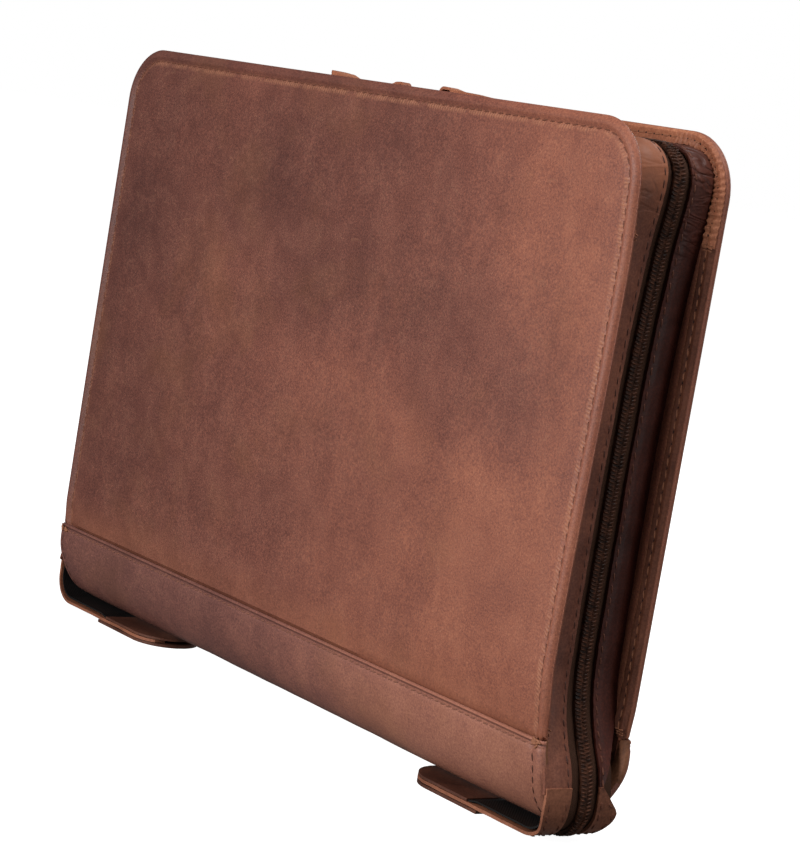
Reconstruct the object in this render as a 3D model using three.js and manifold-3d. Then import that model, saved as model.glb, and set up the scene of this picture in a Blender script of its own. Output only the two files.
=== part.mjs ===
// A leather document case with a zip round three sides, closed and standing on its spine.
// Its two stiff zip ends curl in under the spine, and it rests on them.
// Millimetres, +Z up. +X runs along the spine, and the front cover faces -Y.
// The origin is on the surface it stands on, below the middle of the case.
import * as THREE from "three";
import { mergeVertices } from "three/addons/utils/BufferGeometryUtils.js";
import Module from "manifold-3d";

const wasm = await Module();
wasm.setup();

// Clearance between pieces that touch on the real case
const gap = 0.3;

// Covers
const caseWidth = 340;
const caseDepth = 42;
const coverHeight = 213; // from the seam above the spine to the top edge
const coverWall = 4;
const coverCorner = 22;
const coverEdgeRound = 1.6;
const coverCrown = 0.8;
const crownReach = 95;
const hemWidth = 11;
const hemWall = 1;
const hemSetback = 0.5;

// Spine band, which laps over the foot of each cover
const spineDrop = 31.8; // from the seam to the lowest point of the band
const spineWall = 2.2;
const lapHeight = 9;
const lapWall = 1.3;

// Gusset strips and zip
const gussetSideInset = 9.2;
const gussetCornerInset = 4.4;
const gussetTopInset = 5.5;
const gussetCorner = 13.5;
const stripWall = 1.2;
const zipOpening = 11.4; // between the two gusset strips
const tapeWall = 0.6;
const tapeWidth = 12.4; // of each of the two tapes
const coilWidth = 5.4;
const coilWall = 1.8;

// Zip ends
const tabBulge = 5; // how far they stand out past the covers
const tabTip = 87; // from the middle of the case to their round tips
const tabCurl = 12;
const tabJoint = 16; // from the seam down to where their own leather starts
const liningWall = 0.6;
const liningMargin = 0.5;
const outerPatchWall = 1.2;
const outerPatchLength = 49;
const innerPatchWall = 1;
const innerPatchLength = 43;

// Sliders and pulls
const sliderLength = 15;
const sliderWall = 1.1;
const sliderGap = 7; // between the two sliders
const sliderMiddle = 15; // from the middle of the case to the gap
const pinRadius = 0.9;
const pinOffset = 3;
const pullWall = 1.2; // of one of the two layers
const pullWidth = 9;
const pullNeck = 4;

const halfWidth = caseWidth / 2;
const halfDepth = caseDepth / 2;
const innerFace = halfDepth - coverWall;
const tabStack = outerPatchWall + stripWall + liningWall + innerPatchWall + 4 * gap;
const seamHeight = tabStack + spineDrop;
const coverTop = seamHeight + coverHeight;
const stripFloor = outerPatchWall + gap;

// The spine band's inner face over the covers: its place at the seam, and what is left of it at the lap's foot
const lapFoot = seamHeight - lapHeight;
const lapFace = halfDepth - lapWall;
const footShare = Math.sqrt(1 - (lapHeight / spineDrop) ** 2);

// The gusset's outer face, and the depths of its layers below that face
const tabSide = halfWidth + tabBulge;
const cornerSide = halfWidth - gussetCornerInset;
const gussetTop = coverTop - gussetTopInset;
const layer = { strip: 0, tape: stripWall + gap, lining: stripWall + tapeWall + 2 * gap };

// How far the gusset strips and the zip ends reach towards the covers, where they meet the hems
const hemReach = innerFace - gap - hemWall - gap;

function material(color, roughness, metalness = 0) {
  return new THREE.MeshStandardMaterial({ color, roughness, metalness });
}

const materials = {
  cover: material(0x7a4c3c, 0.55),
  edge: material(0x9a6444, 0.6),
  gusset: material(0x5e3626, 0.6),
  zip: material(0x2e1c16, 0.5),
  lining: material(0x161413, 0.8),
  metal: material(0x6b5a48, 0.35, 1),
};

const group = new THREE.Group();

function add(name, geometry, look) {
  const mesh = new THREE.Mesh(geometry, materials[look]);
  mesh.name = name;
  group.add(mesh);
}

// A closed solid through rings of equal count, each running anticlockwise about the direction of travel
function loft(rings) {
  const count = rings[0].length;
  const last = (rings.length - 1) * count;
  const index = [];
  for (let start = 0; start < last; start += count) {
    for (let i = 0; i < count; i++) {
      const here = start + i;
      const next = start + ((i + 1) % count);
      index.push(here, next, next + count, here, next + count, here + count);
    }
  }
  for (let i = 1; i < count - 1; i++) {
    index.push(0, i + 1, i, last, last + i, last + i + 1);
  }
  const geometry = new THREE.BufferGeometry();
  geometry.setAttribute("position", new THREE.Float32BufferAttribute(rings.flat().flatMap((p) => p.toArray()), 3));
  geometry.setIndex(index);
  geometry.computeVertexNormals();
  return geometry;
}

function toSolid(geometry) {
  const bare = geometry.clone();
  bare.deleteAttribute("normal");
  bare.deleteAttribute("uv");
  const merged = mergeVertices(bare, 1e-4);
  return new wasm.Manifold(
    new wasm.Mesh({
      numProp: 3,
      vertProperties: new Float32Array(merged.attributes.position.array),
      triVerts: new Uint32Array(merged.index.array),
    }),
  );
}

function toGeometry(solid) {
  const mesh = solid.getMesh();
  const geometry = new THREE.BufferGeometry();
  geometry.setAttribute("position", new THREE.Float32BufferAttribute(mesh.vertProperties, 3));
  geometry.setIndex(new THREE.Uint32BufferAttribute(mesh.triVerts, 1));
  geometry.computeVertexNormals();
  return geometry;
}

const join = (geometries) => toGeometry(geometries.map(toSolid).reduce((sum, solid) => sum.add(solid)));

// A box between two corners
function block(low, high) {
  const size = new THREE.Vector3().subVectors(high, low);
  const middle = new THREE.Vector3().addVectors(low, high).multiplyScalar(0.5);
  return new THREE.BoxGeometry(size.x, size.y, size.z).translate(middle.x, middle.y, middle.z);
}

// A shape drawn in Y and Z, swept along X about the place given
function sweepAlongX(shape, length, middle) {
  const geometry = new THREE.ExtrudeGeometry(shape, { depth: length, bevelEnabled: false, curveSegments: 24 });
  const turn = new THREE.Matrix4().makeBasis(
    new THREE.Vector3(0, 1, 0),
    new THREE.Vector3(0, 0, 1),
    new THREE.Vector3(1, 0, 0),
  );
  return geometry.applyMatrix4(turn).translate(middle - length / 2, 0, 0);
}

// A line in X and Z that strips are laid along, with lengths measured from its start
class Route {
  constructor(points) {
    this.points = points;
    this.lengths = [0];
    for (let i = 1; i < points.length; i++) {
      this.lengths.push(this.lengths[i - 1] + points[i].distanceTo(points[i - 1]));
    }
  }

  get total() {
    return this.lengths.at(-1);
  }

  // The normal points into the case, since the route climbs the right side first
  normal(i) {
    const before = this.points[Math.max(i - 1, 0)];
    const after = this.points[Math.min(i + 1, this.points.length - 1)];
    const along = new THREE.Vector2().subVectors(after, before).normalize();
    return new THREE.Vector2(-along.y, along.x);
  }

  at(length) {
    const found = this.lengths.findIndex((reached) => reached >= length - 1e-6);
    const i = Math.max(found, 1);
    const share = (length - this.lengths[i - 1]) / (this.lengths[i] - this.lengths[i - 1]);
    return {
      length,
      point: this.points[i - 1].clone().lerp(this.points[i], share),
      normal: this.normal(i - 1).lerp(this.normal(i), share).normalize(),
    };
  }

  // Stations between two lengths: the ends, the route's own points and any stops asked for
  stations(from, to, stops = []) {
    const clear = (length) => length > from + gap && length < to - gap;
    const inside = [...this.lengths, ...stops].filter(clear).sort((a, b) => a - b);
    const spaced = inside.filter((length, i) => i === 0 || length - inside[i - 1] > gap);
    return [from, ...spaced, to].map((length) => this.at(length));
  }
}

// A strip along a route. The depths are measured inwards from it, and the sides are places on Y.
function strip(route, { from, to, stops, top, bottom, front, back }) {
  const rings = route.stations(from, to, stops).map((station) => {
    const corner = (depth, y) => {
      const place = station.point.clone().addScaledVector(station.normal, depth(station));
      return new THREE.Vector3(place.x, y(station), place.y);
    };
    return [corner(top, front), corner(top, back), corner(bottom, back), corner(bottom, front)];
  });
  return loft(rings);
}

const always = (value) => () => value;

function arc(middleX, middleZ, radius, fromDegrees, toDegrees, steps) {
  const points = [];
  for (let i = 0; i <= steps; i++) {
    const angle = THREE.MathUtils.degToRad(fromDegrees + ((toDegrees - fromDegrees) * i) / steps);
    points.push(new THREE.Vector2(middleX + radius * Math.cos(angle), middleZ + radius * Math.sin(angle)));
  }
  return points;
}

// A smooth line through points, which leaves the first and reaches the last straight up
function smoothClimb(points, steps) {
  const tangent = (i) => {
    if (i === 0 || i === points.length - 1) return new THREE.Vector2(0, 1);
    return new THREE.Vector2().subVectors(points[i + 1], points[i - 1]).normalize();
  };
  return points.slice(1).flatMap((end, i) => {
    const start = points[i];
    const reach = start.distanceTo(end) / 3;
    const curve = new THREE.CubicBezierCurve(
      start,
      start.clone().addScaledVector(tangent(i), reach),
      end.clone().addScaledVector(tangent(i + 1), -reach),
      end,
    );
    return curve.getPoints(steps).slice(1);
  });
}

// The outer face of the gusset from the right zip end's tip to the middle of the top.
// The rows give the height as shares of the seam's height and of the cover's height,
// and the place as shares of the bulge past the cover's edge and of the inset from it.
const sideRows = [
  { seam: 0.7, cover: 0, bulge: 0.58, inset: 0 },
  { seam: 1, cover: 0, bulge: 0, inset: 0.25 },
  { seam: 1, cover: 0.05, bulge: 0, inset: 0.7 },
  { seam: 1, cover: 0.12, bulge: 0, inset: 0.95 },
  { seam: 1, cover: 0.35, bulge: 0, inset: 1.05 },
  { seam: 1, cover: 0.62, bulge: 0, inset: 1.03 },
  { seam: 1, cover: 0.8, bulge: 0, inset: 0.78 },
];

function gussetRoute() {
  const curl = arc(tabSide - tabCurl, stripFloor + tabCurl, tabCurl, -90, 0, 6);
  const corner = arc(cornerSide - gussetCorner, gussetTop - gussetCorner, gussetCorner, 0, 90, 6);
  const rows = sideRows.map(
    (row) =>
      new THREE.Vector2(
        halfWidth + row.bulge * tabBulge - row.inset * gussetSideInset,
        row.seam * seamHeight + row.cover * coverHeight,
      ),
  );
  const climb = smoothClimb([curl.at(-1), ...rows, corner[0]], 3);
  const right = [new THREE.Vector2(tabTip, stripFloor), ...curl, ...climb, ...corner.slice(1)];
  const left = right.map((point) => new THREE.Vector2(-point.x, point.y)).reverse();
  return new Route([...right, ...left]);
}

// The edge of a cover from the seam up the right side, over the top and down to the seam
function edgeRoute() {
  const corner = arc(halfWidth - coverCorner, coverTop - coverCorner, coverCorner, 0, 90, 8);
  const right = [new THREE.Vector2(halfWidth, seamHeight + gap), ...corner];
  const left = right.map((point) => new THREE.Vector2(-point.x, point.y)).reverse();
  return new Route([...right, ...left]);
}

const gusset = gussetRoute();
const edge = edgeRoute();

// The covers: the rows give the rolled edge, as shares of its round and of the wall,
// and then the crown, as shares of how far it reaches in and of its height.
const edgeRows = [
  { round: 1, wall: 0 },
  { round: 0.3, wall: 0.12 },
  { round: 0, wall: 0.4 },
  { round: 0, wall: 0.6 },
  { round: 0.3, wall: 0.88 },
  { round: 1, wall: 1 },
];
const crownRows = [
  { reach: 0.1, crown: 0.05 },
  { reach: 0.3, crown: 0.5 },
  { reach: 0.6, crown: 0.85 },
  { reach: 1, crown: 1 },
];

function coverOutline(inset, depth) {
  const foot = lapFoot + inset;
  const radius = Math.max(coverCorner - inset, coverEdgeRound);
  const side = halfWidth - inset;
  const top = coverTop - inset;
  const right = arc(side - radius, top - radius, radius, 0, 90, 8);
  const left = right.map((point) => new THREE.Vector2(-point.x, point.y)).reverse();
  const points = [new THREE.Vector2(-side, foot), new THREE.Vector2(side, foot), ...right, ...left];
  return points.map((point) => new THREE.Vector3(point.x, depth, point.y));
}

// A cover, with its foot let in where the spine band laps over it. The side is -1 in front and 1 behind.
function cover(side) {
  const rings = [
    ...edgeRows.map((row) => coverOutline(row.round * coverEdgeRound, side * (innerFace + row.wall * coverWall))),
    ...crownRows.map((row) => coverOutline(row.reach * crownReach, side * (halfDepth + row.crown * coverCrown))),
  ];
  const whole = loft(side < 0 ? rings : rings.reverse());
  const rebate = side * (lapFace - gap);
  const beyond = side * (halfDepth + coverWall);
  const cut = new THREE.Shape();
  cut.moveTo(beyond, seamHeight + gap);
  cut.lineTo(rebate, seamHeight + gap);
  cut.lineTo(rebate * footShare, lapFoot - gap);
  cut.lineTo(beyond, lapFoot - gap);
  return toGeometry(toSolid(whole).subtract(toSolid(sweepAlongX(cut, caseWidth + 2 * gap, 0))));
}

// The turned leather on the inner face of a cover's edge
function hem(side) {
  const outer = side * (innerFace - gap);
  const inner = side * (innerFace - gap - hemWall);
  return strip(edge, {
    from: 0,
    to: edge.total,
    top: always(hemSetback),
    bottom: always(hemSetback + hemWidth),
    front: always(Math.min(outer, inner)),
    back: always(Math.max(outer, inner)),
  });
}

// The spine band: half an ellipse below the seam, thinner where it laps over the covers.
// Its lower corners are round, inside the curl of the zip ends.
function spineBand() {
  const thick = spineWall - lapWall;
  const step = Math.asin((lapHeight + gap + thick) / (spineDrop - spineWall));
  const shape = new THREE.Shape();
  shape.moveTo(-halfDepth, seamHeight);
  shape.absellipse(0, seamHeight, halfDepth, spineDrop, Math.PI, 2 * Math.PI);
  shape.lineTo(lapFace, seamHeight);
  shape.lineTo(lapFace * footShare, lapFoot - gap);
  shape.absellipse(0, seamHeight, halfDepth - spineWall, spineDrop - spineWall, -step, step - Math.PI, true);
  shape.lineTo(-lapFace * footShare, lapFoot - gap);
  shape.lineTo(-lapFace, seamHeight);
  const round = tabCurl - layer.lining - liningWall - gap;
  const side = tabSide - tabCurl;
  const low = stripFloor + tabCurl;
  const outline = new THREE.Shape([
    new THREE.Vector2(side + round, coverTop),
    new THREE.Vector2(-side - round, coverTop),
    ...arc(-side, low, round, 180, 270, 8),
    ...arc(side, low, round, 270, 360, 8),
  ]);
  const slab = new THREE.ExtrudeGeometry(outline, { depth: caseDepth, bevelEnabled: false });
  slab.rotateX(Math.PI / 2).translate(0, halfDepth, 0);
  return toGeometry(toSolid(sweepAlongX(shape, caseWidth, 0)).intersect(toSolid(slab)));
}

// Half the width of a zip end, which has a round tip
function tabHalf(station) {
  const fromTip = Math.min(station.length, gusset.total - station.length);
  const left = Math.max(hemReach - fromTip, 0);
  return Math.sqrt(hemReach ** 2 - left ** 2);
}

const tabStart = gusset.lengths[gusset.points.findIndex((point) => point.y > seamHeight - tabJoint)];
const tipStops = [0.03, 0.07, 0.14, 0.27, 0.45, 0.7, 1].map((share) => share * hemReach);
const zipEnd = outerPatchLength + gap;
const liningStep = { low: innerPatchLength + gap, high: zipEnd - gap };
const tabStops = [...tipStops, liningStep.low, liningStep.high];

// A piece of a zip end, between two lengths from its tip. The side is 1 at the right and -1 at the left.
function tabPiece(side, from, to, sizes) {
  const place = (length) => (side > 0 ? length : gusset.total - length);
  const ends = [place(from), place(to)].sort((a, b) => a - b);
  return strip(gusset, { from: ends[0], to: ends[1], stops: tabStops.map(place), ...sizes });
}

// The lining steps down past the end of the tape, where it lies on the strips
function liningDepth(station) {
  const fromTip = Math.min(station.length, gusset.total - station.length);
  const share = (fromTip - liningStep.low) / (liningStep.high - liningStep.low);
  return THREE.MathUtils.lerp(layer.tape, layer.lining, THREE.MathUtils.clamp(share, 0, 1));
}

function addCovers() {
  add("front_cover", cover(-1), "cover");
  add("back_cover", cover(1), "cover");
  add("front_hem", hem(-1), "edge");
  add("back_hem", hem(1), "edge");
  add("spine_band", spineBand(), "cover");
}

function addGusset() {
  const run = { from: tabStart, to: gusset.total - tabStart };
  const depth = { top: always(layer.strip), bottom: always(stripWall) };
  const inner = zipOpening / 2;
  const before = { front: always(-hemReach), back: always(-inner) };
  const behind = { front: always(inner), back: always(hemReach) };
  add("front_gusset", strip(gusset, { ...run, ...depth, ...before }), "gusset");
  add("back_gusset", strip(gusset, { ...run, ...depth, ...behind }), "gusset");
}

function addZip() {
  const run = { from: zipEnd, to: gusset.total - zipEnd };
  const depth = { top: always(layer.tape), bottom: always(layer.tape + tapeWall) };
  const inner = gap / 2;
  const outer = inner + tapeWidth;
  add("front_tape", strip(gusset, { ...run, ...depth, front: always(-outer), back: always(-inner) }), "zip");
  add("back_tape", strip(gusset, { ...run, ...depth, front: always(inner), back: always(outer) }), "zip");
  add("zip_coil", coil(run), "zip");
}

// The closed coil, as one cord of an eight-sided section on the outer face of the tapes
function coil(run) {
  const low = layer.tape - gap;
  const corners = [
    { across: -0.5, up: 0.3 },
    { across: -0.5, up: 0.7 },
    { across: -0.25, up: 1 },
    { across: 0.25, up: 1 },
    { across: 0.5, up: 0.7 },
    { across: 0.5, up: 0.3 },
    { across: 0.25, up: 0 },
    { across: -0.25, up: 0 },
  ];
  const rings = gusset.stations(run.from, run.to).map((station) =>
    corners.map(({ across, up }) => {
      const place = station.point.clone().addScaledVector(station.normal, low - up * coilWall);
      return new THREE.Vector3(place.x, across * coilWidth, place.y);
    }),
  );
  return loft(rings);
}

function addTab(name, side) {
  const leather = { top: always(layer.strip), bottom: always(stripWall) };
  const inner = zipOpening / 2;
  const stripEnd = tabStart - gap;
  const stripTip = tipStops[4];
  const lining = { top: liningDepth, bottom: (station) => liningDepth(station) + liningWall };
  const innerTop = layer.tape + liningWall + gap;
  const whole = { front: (station) => -tabHalf(station), back: tabHalf };
  const trimmed = {
    front: (station) => liningMargin - tabHalf(station),
    back: (station) => tabHalf(station) - liningMargin,
  };
  add(
    `${name}_tab_front`,
    tabPiece(side, stripTip, stripEnd, { ...leather, front: whole.front, back: always(-inner) }),
    "gusset",
  );
  add(
    `${name}_tab_back`,
    tabPiece(side, stripTip, stripEnd, { ...leather, front: always(inner), back: whole.back }),
    "gusset",
  );
  add(`${name}_tab_lining`, tabPiece(side, tipStops[1], tabStart, { ...lining, ...trimmed }), "lining");
  add(
    `${name}_tab_sole`,
    tabPiece(side, tipStops[0], outerPatchLength, {
      top: always(-gap - outerPatchWall),
      bottom: always(-gap),
      ...whole,
    }),
    "edge",
  );
  add(
    `${name}_tab_patch`,
    tabPiece(side, tipStops[0], innerPatchLength, {
      top: always(innerTop),
      bottom: always(innerTop + innerPatchWall),
      ...whole,
    }),
    "edge",
  );
}

const coilTop = gussetTop - layer.tape + gap + coilWall;
const sliderTop = coilTop + gap + sliderWall;
const pinHeight = sliderTop + gap + pullWall + gap + pinRadius;

// A slider rides over the coil on two cheeks, with two ears and a pin for its pull
function slider(middle, pin) {
  const channel = coilWidth / 2 + gap;
  const outside = channel + sliderWall;
  const foot = gussetTop - layer.tape + gap;
  const body = new THREE.Shape();
  body.moveTo(-outside, foot);
  body.lineTo(-channel, foot);
  body.lineTo(-channel, coilTop + gap);
  body.lineTo(channel, coilTop + gap);
  body.lineTo(channel, foot);
  body.lineTo(outside, foot);
  body.lineTo(outside, sliderTop);
  body.lineTo(-outside, sliderTop);
  const ears = [-1, 1].map((side) => {
    const inner = side * (pullNeck / 2 + gap);
    const outer = inner + side * sliderWall;
    return block(
      new THREE.Vector3(pin - 2 * pinRadius, Math.min(inner, outer), coilTop + gap),
      new THREE.Vector3(pin + 2 * pinRadius, Math.max(inner, outer), pinHeight + 1.5 * pinRadius),
    );
  });
  const rod = new THREE.CylinderGeometry(pinRadius, pinRadius, pullNeck + 2 * gap + sliderWall, 12);
  rod.translate(pin, 0, pinHeight);
  return join([sweepAlongX(body, sliderLength, middle), ...ears, rod]);
}

// A leather pull: a strip folded round the pin and lying along the zip.
// The rows give the length as shares of the pull's, its lift as a share of its rise, and the width of its half.
const leftPull = { length: 48, rise: 2.2, eye: 0, rows: [
  { along: 0.08, lift: -0.35, width: 0.45 },
  { along: 0.2, lift: -0.7, width: 1 },
  { along: 0.45, lift: -0.75, width: 1 },
  { along: 0.7, lift: 0.1, width: 1 },
  { along: 0.9, lift: 0.55, width: 1 },
  { along: 0.97, lift: 0.6, width: 0.8 },
  { along: 1, lift: 0.6, width: 0.4 },
] };
const rightPull = { length: 46, rise: 2.2, eye: 0.7, rows: [
  { along: 0.08, lift: 0.5, width: 0.45 },
  { along: 0.2, lift: 0.55, width: 1 },
  { along: 0.45, lift: 0.4, width: 1 },
  { along: 0.7, lift: -0.35, width: 1 },
  { along: 0.9, lift: -0.8, width: 1 },
  { along: 0.97, lift: -0.8, width: 0.8 },
  { along: 1, lift: -0.8, width: 0.4 },
] };

function pull(pin, side, { length, rise, eye, rows }) {
  const hole = pinRadius + gap + eye;
  const round = hole + pullWall;
  const ring = new THREE.Shape();
  ring.absarc(0, 0, round, 0, 2 * Math.PI);
  const opening = new THREE.Path();
  opening.absarc(0, 0, hole, 0, 2 * Math.PI);
  ring.holes.push(opening);
  const loop = new THREE.ExtrudeGeometry(ring, { depth: pullNeck, bevelEnabled: false, curveSegments: 10 });
  loop.rotateX(Math.PI / 2).translate(pin, pullNeck / 2, pinHeight + eye);
  const start = { along: (hole + pullWall / 2) / length, lift: eye / rise, width: pullNeck / pullWidth };
  const rings = [start, ...rows].map((row) => {
    const x = pin + side * row.along * length;
    const z = pinHeight + row.lift * rise;
    const half = (row.width * pullWidth) / 2;
    const low = [new THREE.Vector3(x, -half, z - pullWall), new THREE.Vector3(x, half, z - pullWall)];
    const high = [new THREE.Vector3(x, half, z + pullWall), new THREE.Vector3(x, -half, z + pullWall)];
    return [...low, ...high];
  });
  return join([loop, loft(side > 0 ? rings : rings.reverse())]);
}

function addSliders() {
  const away = (sliderGap + sliderLength) / 2;
  const leftPin = sliderMiddle - away - pinOffset;
  const rightPin = sliderMiddle + away + pinOffset;
  add("left_slider", slider(sliderMiddle - away, leftPin), "metal");
  add("right_slider", slider(sliderMiddle + away, rightPin), "metal");
  add("left_pull", pull(leftPin, -1, leftPull), "edge");
  add("right_pull", pull(rightPin, 1, rightPull), "edge");
}

addCovers();
addGusset();
addZip();
addTab("right", 1);
addTab("left", -1);
addSliders();

export default group;
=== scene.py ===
# A leather document case, closed and standing on the curled ends of its zip.
# Metres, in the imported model's frame: +X along the spine, the front cover faces -Y, the floor is at Z 0.
import math
import random

import bmesh
import bpy
from mathutils import Matrix, Vector, noise


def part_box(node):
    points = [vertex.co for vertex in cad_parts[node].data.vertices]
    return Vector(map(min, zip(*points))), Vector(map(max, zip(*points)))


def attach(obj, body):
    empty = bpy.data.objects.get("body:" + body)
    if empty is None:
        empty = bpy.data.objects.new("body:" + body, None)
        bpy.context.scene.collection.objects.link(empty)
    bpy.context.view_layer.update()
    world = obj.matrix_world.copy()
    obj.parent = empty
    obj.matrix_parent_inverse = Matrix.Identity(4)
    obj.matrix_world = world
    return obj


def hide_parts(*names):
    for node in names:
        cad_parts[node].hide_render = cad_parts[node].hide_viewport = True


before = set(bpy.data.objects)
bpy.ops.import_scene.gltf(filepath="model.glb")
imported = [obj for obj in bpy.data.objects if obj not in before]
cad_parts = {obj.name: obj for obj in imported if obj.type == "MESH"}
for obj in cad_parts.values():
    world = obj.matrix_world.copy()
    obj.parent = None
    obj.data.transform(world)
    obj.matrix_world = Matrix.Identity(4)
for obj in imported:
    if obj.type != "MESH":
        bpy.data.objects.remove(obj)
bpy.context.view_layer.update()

scene = bpy.context.scene
rng = random.Random(7)

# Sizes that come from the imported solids
coverLow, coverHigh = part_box("back_cover")
spineLow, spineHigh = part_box("spine_band")
soleLow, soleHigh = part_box("right_tab_sole")
patchLow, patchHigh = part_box("right_tab_patch")
tabLow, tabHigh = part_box("right_tab_front")

halfWidth = coverHigh.x
halfDepth = spineHigh.y
innerFace = coverLow.y
seam = spineHigh.z
spineDrop = seam - spineLow.z
coverTop = coverHigh.z
coverHeight = coverTop - seam
soleLength = soleHigh.x - soleLow.x
patchLength = patchHigh.x - patchLow.x
tabSide = tabHigh.x
tabTip = soleLow.x
tabHalf = -tabLow.y
tabJoint = tabHigh.z
stripFloor = tabLow.z
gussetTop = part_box("front_gusset")[1].z

case = {
    "corner": 0.022, "roll": 0.0021, "stitchInset": 0.0049, "crown": 0.0008,
    "sideInset": 0.0092, "cornerInset": 0.0044, "gussetCorner": 0.0135, "curl": 0.012,
    "stripWall": 0.0012, "zipOpening": 0.0114, "gap": 0.0003, "pitch": 0.0043,
}
stripInner = case["zipOpening"] / 2


def smooth(low, high, value):
    share = min(max((value - low) / (high - low), 0.0), 1.0)
    return share * share * (3 - 2 * share)


def bell(value, middle, width):
    return math.exp(-((value - middle) / width) ** 2)


def wave(x, y, size, seed=0.0):
    return noise.noise(Vector((x / size, y / size, seed)))


def leg(long, short):
    # the third side of a right-angled triangle
    return math.sqrt(max(long**2 - short**2, 0.0))


def roundFall(radius, inset):
    # how far a rounded edge falls back, so far inside its outline
    return radius - leg(radius, max(radius - max(inset, 0), 0))


# Shader maths written as Python sums

class Value:
    def __init__(self, finish, socket):
        self.finish = finish
        self.socket = socket

    def math(self, operation, *values):
        return self.finish.node("ShaderNodeMath", {"operation": operation}, dict(enumerate(values)))

    def __add__(self, other): return self.math("ADD", self, other)
    def __radd__(self, other): return self.math("ADD", other, self)
    def __sub__(self, other): return self.math("SUBTRACT", self, other)
    def __rsub__(self, other): return self.math("SUBTRACT", other, self)
    def __mul__(self, other): return self.math("MULTIPLY", self, other)
    def __rmul__(self, other): return self.math("MULTIPLY", other, self)
    def __truediv__(self, other): return self.math("DIVIDE", self, other)
    def __pow__(self, other): return self.math("POWER", self, other)
    def __abs__(self): return self.math("ABSOLUTE", self)
    def least(self, other): return self.math("MINIMUM", self, other)
    def most(self, other): return self.math("MAXIMUM", self, other)
    def sine(self): return self.math("SINE", self)

    def between(self, low, high, start=0.0, end=1.0):
        settings = {"interpolation_type": "SMOOTHSTEP"}
        return self.finish.node("ShaderNodeMapRange", settings, {0: self, 1: low, 2: high, 3: start, 4: end})


def srgb(red, green, blue):
    def linear(level):
        level /= 255
        return level / 12.92 if level <= 0.04045 else ((level + 0.055) / 1.055) ** 2.4
    return (linear(red), linear(green), linear(blue), 1.0)


class Finish:
    def __init__(self, name):
        self.material = bpy.data.materials.new(name)
        self.material.use_nodes = True
        self.tree = self.material.node_tree
        self.tree.nodes.clear()
        self.shader = self.tree.nodes.new("ShaderNodeBsdfPrincipled")
        output = self.tree.nodes.new("ShaderNodeOutputMaterial")
        self.tree.links.new(self.shader.outputs[0], output.inputs["Surface"])

    def feed(self, socket, value):
        # a colour may come as three screen values up to 255
        if isinstance(value, Value):
            self.tree.links.new(value.socket, socket)
        elif socket.type == "RGBA" and len(value) == 3:
            socket.default_value = srgb(*value)
        else:
            socket.default_value = value

    def node(self, kind, settings, inputs, output=0):
        made = self.tree.nodes.new(kind)
        for name, value in settings.items():
            if name == "stops":
                ramp = made.color_ramp
                while len(ramp.elements) < len(value):
                    ramp.elements.new(0.5)
                for element, (place, colour) in zip(ramp.elements, value):
                    element.position = place
                    element.color = srgb(*colour)
            else:
                setattr(made, name, value)
        for key, value in inputs.items():
            self.feed(made.inputs[key], value)
        return Value(self, made.outputs[output])

    def place(self):
        return self.node("ShaderNodeTexCoord", {}, {}, "Object")

    def uv(self):
        return self.node("ShaderNodeTexCoord", {}, {}, "UV")

    def parts(self, vector):
        made = self.node("ShaderNodeSeparateXYZ", {}, {0: vector})
        return [Value(self, socket) for socket in made.socket.node.outputs]

    def scaled(self, vector, x, y, z):
        return self.node("ShaderNodeVectorMath", {"operation": "MULTIPLY"}, {0: vector, 1: (x, y, z)})

    def cloud(self, vector, scale, detail=2.0, roughness=0.5, distortion=0.0):
        return self.node("ShaderNodeTexNoise", {}, {"Vector": vector, "Scale": scale, "Detail": detail,
                                                    "Roughness": roughness, "Distortion": distortion})

    def cells(self, vector, scale, feature="F1"):
        return self.node("ShaderNodeTexVoronoi", {"feature": feature}, {"Vector": vector, "Scale": scale})

    def ramp(self, value, stops):
        return self.node("ShaderNodeValToRGB", {"stops": stops}, {0: value})

    def mix(self, share, first, second):
        return self.node("ShaderNodeMix", {"data_type": "RGBA"}, {0: share, 6: first, 7: second}, 2)

    def bump(self, height):
        return self.node("ShaderNodeBump", {}, {"Strength": 1.0, "Distance": 0.001, "Height": height})

    def put(self, colour, roughness, height=None, shine=0.5, **more):
        more.update(Base_Color=colour, Roughness=roughness, Specular_IOR_Level=shine)
        if height:
            more["Normal"] = self.bump(height)
        for name, value in more.items():
            self.feed(self.shader.inputs[name.replace("_", " ")], value)
        return self.material


print("case: sizes read")


# The spine band's section, which its leather's fold line follows too

band = {
    "wall": 0.0014, "fold": 0.0008, "foldLine": 0.0015, "stitch": 0.0027, "pitch": 0.0036, "endRoll": 0.0019,
    "endWall": 0.0036, "endHem": 0.0108, "rightStitch": 0.0056, "leftStitch": 0.0028, "insideStitch": 0.0070,
    "insideLength": 0.024, "insidePitch": 0.0038, "bulge": 0.0014, "backBulge": 0.0010, "backDrop": 0.0060,
    "seamEnd": 0.002, "knotBeads": 9, "knotSize": (0.0024, 0.0009, 0.0008),
}


def bandProfile(turn):
    # half an ellipse under the seam, by an angle from the front seam to the back one
    out = Vector((-math.cos(turn) / halfDepth, -math.sin(turn) / spineDrop)).normalized()
    return Vector((-halfDepth * math.cos(turn), seam - spineDrop * math.sin(turn))), out


def bandLengths(steps=240):
    lengths = [0.0]
    for i in range(steps):
        before = bandProfile(math.pi * i / steps)[0]
        lengths.append(lengths[-1] + (bandProfile(math.pi * (i + 1) / steps)[0] - before).length)
    return lengths


bandSteps = bandLengths()
bandLength = bandSteps[-1]


def bandTurn(length):
    length = min(max(length, 0.0), bandLength)
    for i in range(1, len(bandSteps)):
        if bandSteps[i] >= length:
            share = (length - bandSteps[i - 1]) / (bandSteps[i] - bandSteps[i - 1])
            return math.pi * (i - 1 + share) / (len(bandSteps) - 1)
    return math.pi


# Finishes

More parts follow.
